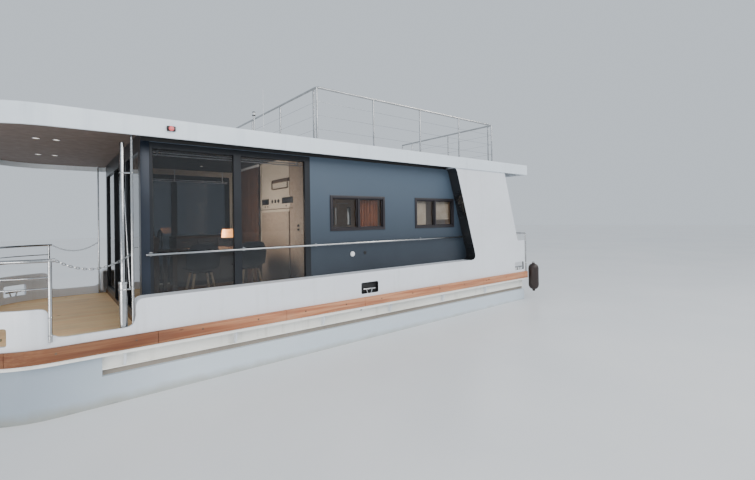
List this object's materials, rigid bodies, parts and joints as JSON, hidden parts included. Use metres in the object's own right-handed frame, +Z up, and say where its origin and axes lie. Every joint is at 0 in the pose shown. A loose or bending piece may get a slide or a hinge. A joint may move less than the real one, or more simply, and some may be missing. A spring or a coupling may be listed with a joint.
{
  "type": "houseboat",
  "caption": "Catamaran houseboat with a glazed saloon, open bow terrace, raked side pillars, flat roof with a railed sun deck, and an outboard motor at the stern.",
  "frame": {"origin": "on the floor under the pontoons, midway along and across the whole boat", "axes": "+X towards the bow, +Y to port, +Z up; the waterline lies 0.42 m above the origin"},
  "size_m": [9.86, 4.256, 4.55],
  "materials": {
    "hull_paint": "satin pale blue-white paint, weathered at the waterline",
    "white_paint": "satin white paint",
    "blue_paint": "satin blue-grey paint",
    "cream_paint": "satin pale green-grey paint",
    "anthracite_frame": "powder-coated frame",
    "black_paint": "gloss black paint",
    "stainless": "polished stainless tube",
    "larch": "oiled larch with knots",
    "decking": "grooved deck boards",
    "oak": "oiled oak",
    "ceiling_board": "matt taupe boards",
    "beige_board": "matt painted board",
    "black_plastic": "grained black plastic",
    "grey_plastic": "moulded shell",
    "fender_rubber": "inflated dark vinyl",
    "curtain_cloth": "woven brown cloth",
    "window_glass": "clear glazing"
  },
  "bodies": {
    "boat": {"port_pontoon": "hull_paint", "starboard_pontoon": "hull_paint", "port_rub_strake": "larch", "starboard_rub_strake": "larch", "deck_frame": "cream_paint", "terrace_deck": "decking", "cabin_floor": "decking", "port_bulwark": "white_paint", "starboard_bulwark": "white_paint", "port_side_panel": "white_paint", "starboard_side_panel": "white_paint", "port_cabin_wall": "blue_paint", "starboard_cabin_wall": "blue_paint", "port_glazing_frame": "anthracite_frame", "starboard_glazing_frame": "anthracite_frame", "port_saloon_glass": "window_glass", "starboard_saloon_glass": "window_glass", "port_window_fore_glass": "window_glass", "port_window_aft_glass": "window_glass", "starboard_window_fore_glass": "window_glass", "starboard_window_aft_glass": "window_glass", "front_wall_frame": "anthracite_frame", "front_glass_port": "window_glass", "front_glass_starboard": "window_glass", "rear_cabin_wall": "white_paint", "saloon_partition": "beige_board", "roof": "white_paint", "terrace_ceiling": "ceiling_board", "roof_railing": "stainless", "roof_mast": "white_paint", "port_roof_post": "stainless", "starboard_roof_post": "stainless", "port_terrace_rail": "stainless", "starboard_terrace_rail": "stainless", "port_gate_chain": "stainless", "starboard_gate_chain": "stainless", "port_grab_rail": "stainless", "starboard_grab_rail": "stainless", "mooring_pole": "stainless", "port_aft_rail": "stainless", "starboard_aft_rail": "stainless", "roof_ladder": "stainless", "port_fender": "fender_rubber", "starboard_fender": "fender_rubber", "outboard_bracket": "black_paint", "helm_console": "beige_board", "dining_table": "oak", "chair_fore": "grey_plastic", "chair_aft": "grey_plastic", "galley_unit": "beige_board", "saloon_curtain": "curtain_cloth"},
    "front_door": {"front_door": "anthracite_frame", "front_door_glass": "window_glass"},
    "rear_door": {"rear_door": "white_paint"},
    "bow_gate": {"bow_gate": "stainless"},
    "swim_ladder": {"swim_ladder": "stainless"},
    "outboard_swivel": {"outboard_swivel": "black_paint"},
    "outboard_motor": {"outboard_motor": "black_paint"},
    "propeller": {"propeller": "black_paint"},
    "helm_wheel": {"helm_wheel": "black_plastic"}
  },
  "joints": [
    {"name": "front_door_slide", "type": "slide", "parent": "boat", "child": "front_door", "axis": [0, 1, 0], "range_m": [0, 1]},
    {"name": "rear_door_hinge", "type": "hinge", "parent": "boat", "child": "rear_door", "pos_m": [-3.308, 0.35, 2.1], "axis": [0, 0, -1], "range_deg": [0, 95]},
    {"name": "bow_gate_hinge", "type": "hinge", "parent": "boat", "child": "bow_gate", "pos_m": [4.84, 0.422, 1.55], "axis": [0, 0, -1], "range_deg": [0, 95]},
    {"name": "swim_ladder_fold", "type": "hinge", "parent": "boat", "child": "swim_ladder", "pos_m": [-4.135, 0.69, 1], "axis": [0, -1, 0], "range_deg": [0, 180]},
    {"name": "outboard_tilt", "type": "hinge", "parent": "boat", "child": "outboard_swivel", "pos_m": [-4.49, 0, 1.02], "axis": [0, 1, 0], "range_deg": [0, 65]},
    {"name": "outboard_steer", "type": "hinge", "parent": "outboard_swivel", "child": "outboard_motor", "pos_m": [-4.59, 0, 0.87], "axis": [0, 0, 1], "range_deg": [-35, 35]},
    {"name": "propeller_spin", "type": "hinge", "parent": "outboard_motor", "child": "propeller", "pos_m": [-4.85, 0, 0.145], "axis": [1, 0, 0], "continuous": true},
    {"name": "helm_turn", "type": "hinge", "parent": "boat", "child": "helm_wheel", "pos_m": [2.61, -1.23, 1.96], "axis": [1, 0, 0], "range_deg": [-640, 640]}
  ],
  "couplings": [
    {"joint": "helm_turn", "follows": "outboard_steer", "ratio": 18}
  ]
}
